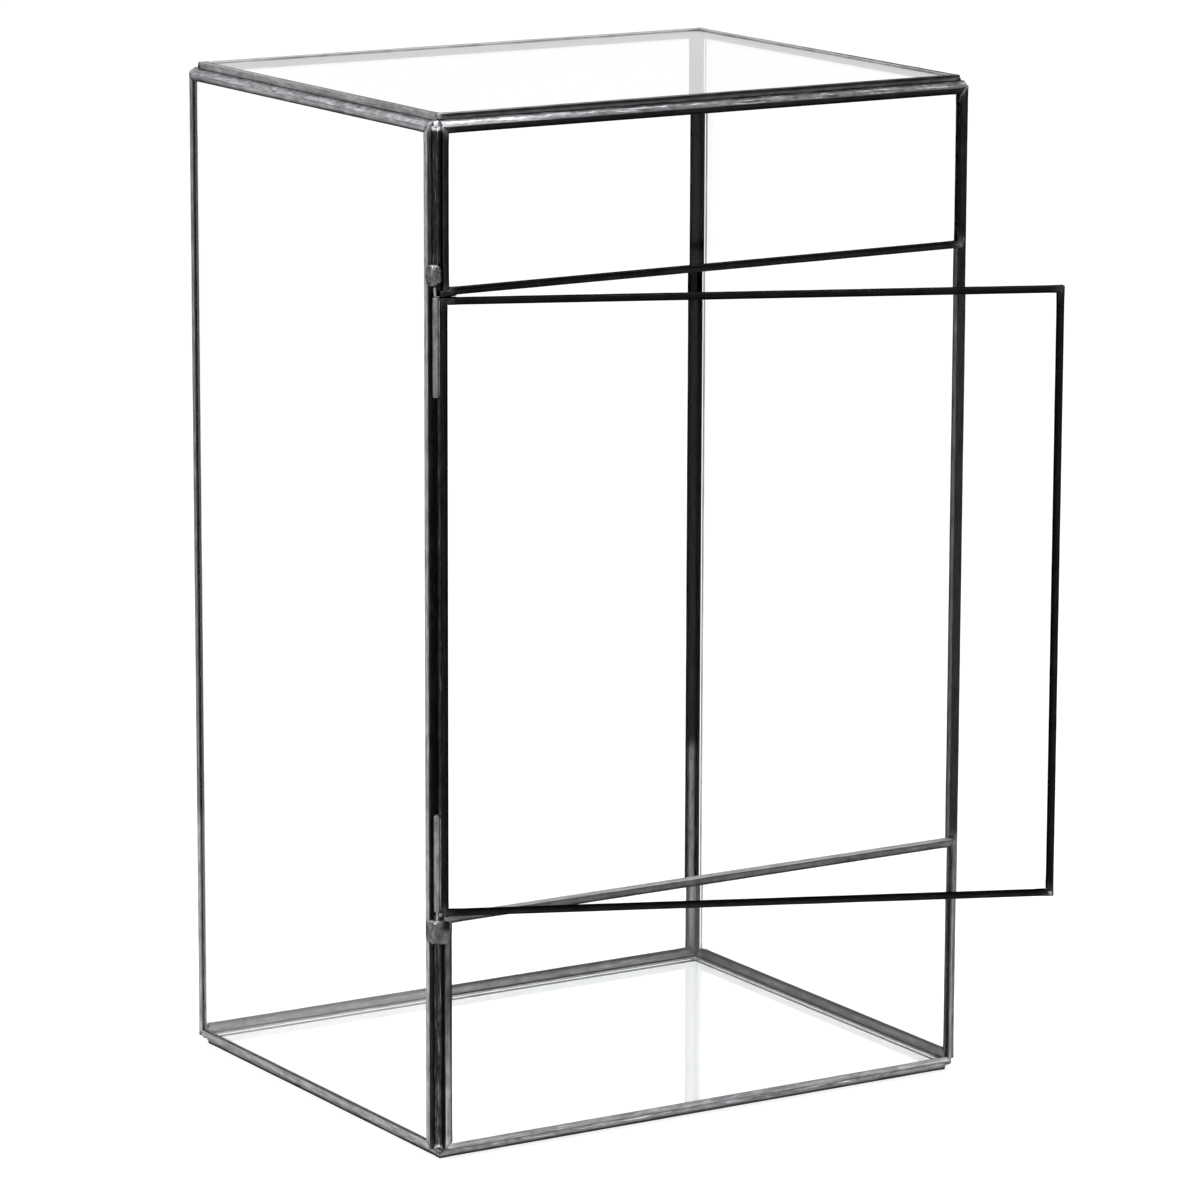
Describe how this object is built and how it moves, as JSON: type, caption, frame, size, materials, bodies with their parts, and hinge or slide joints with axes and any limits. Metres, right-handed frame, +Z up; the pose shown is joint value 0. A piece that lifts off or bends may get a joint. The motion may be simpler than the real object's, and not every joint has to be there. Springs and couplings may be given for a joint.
{
  "type": "glass terrarium",
  "caption": "Tall rectangular glass case of metal-edged panes soldered at open corner grooves, with a side-hinged glass door between an upper and a lower front pane.",
  "frame": {"origin": "on the surface that the case stands on, under the middle of the whole object's box with its door ajar as stored", "axes": "+X to the right along the front, +Y to the back, +Z up"},
  "size_m": [0.2494, 0.2954, 0.4088],
  "materials": {
    "glass": "clear float glass, 3 mm",
    "channel": "blackened patina, rubbed grey on edges",
    "solder": "hand-run solder under a dark patina, bright where rubbed",
    "hinge_metal": "grey tinned tube and wire"
  },
  "bodies": {
    "case": {"left_glass": "glass", "left_channel_bottom": "channel", "left_channel_back": "channel", "left_channel_top": "channel", "left_channel_front": "channel", "right_glass": "glass", "right_channel_bottom": "channel", "right_channel_back": "channel", "right_channel_top": "channel", "right_channel_front": "channel", "back_glass": "glass", "back_channel_bottom": "channel", "back_channel_right": "channel", "back_channel_top": "channel", "back_channel_left": "channel", "upper_front_glass": "glass", "upper_front_channel_bottom": "channel", "upper_front_channel_right": "channel", "upper_front_channel_top": "channel", "upper_front_channel_left": "channel", "lower_front_glass": "glass", "lower_front_channel_bottom": "channel", "lower_front_channel_right": "channel", "lower_front_channel_top": "channel", "lower_front_channel_left": "channel", "top_glass": "glass", "top_channel_front": "channel", "top_channel_right": "channel", "top_channel_back": "channel", "top_channel_left": "channel", "base_glass": "glass", "base_channel_front": "channel", "base_channel_right": "channel", "base_channel_back": "channel", "base_channel_left": "channel", "solder_back_left": "solder", "solder_back_right": "solder", "solder_front_left_upper": "solder", "solder_front_left_lower": "solder", "solder_front_right_upper": "solder", "solder_front_right_lower": "solder", "solder_top_left": "solder", "solder_top_right": "solder", "solder_top_front": "solder", "solder_top_back": "solder", "solder_base_left": "solder", "solder_base_right": "solder", "solder_base_front": "solder", "solder_base_back": "solder", "hinge_pin_upper": "hinge_metal", "hinge_solder_upper": "solder", "hinge_pin_lower": "hinge_metal", "hinge_solder_lower": "solder"},
    "door": {"door_glass": "glass", "door_channel_bottom": "channel", "door_channel_free_side": "channel", "door_channel_top": "channel", "door_channel_hinge_side": "channel", "hinge_tube_upper": "hinge_metal", "hinge_tube_lower": "hinge_metal"}
  },
  "joints": [
    {"name": "door_hinge", "type": "hinge", "parent": "case", "child": "door", "pos_m": [-0.1215, -0.04924, 0.2193], "axis": [0, 0, -1], "range_deg": [-23.5, 156.5]}
  ]
}
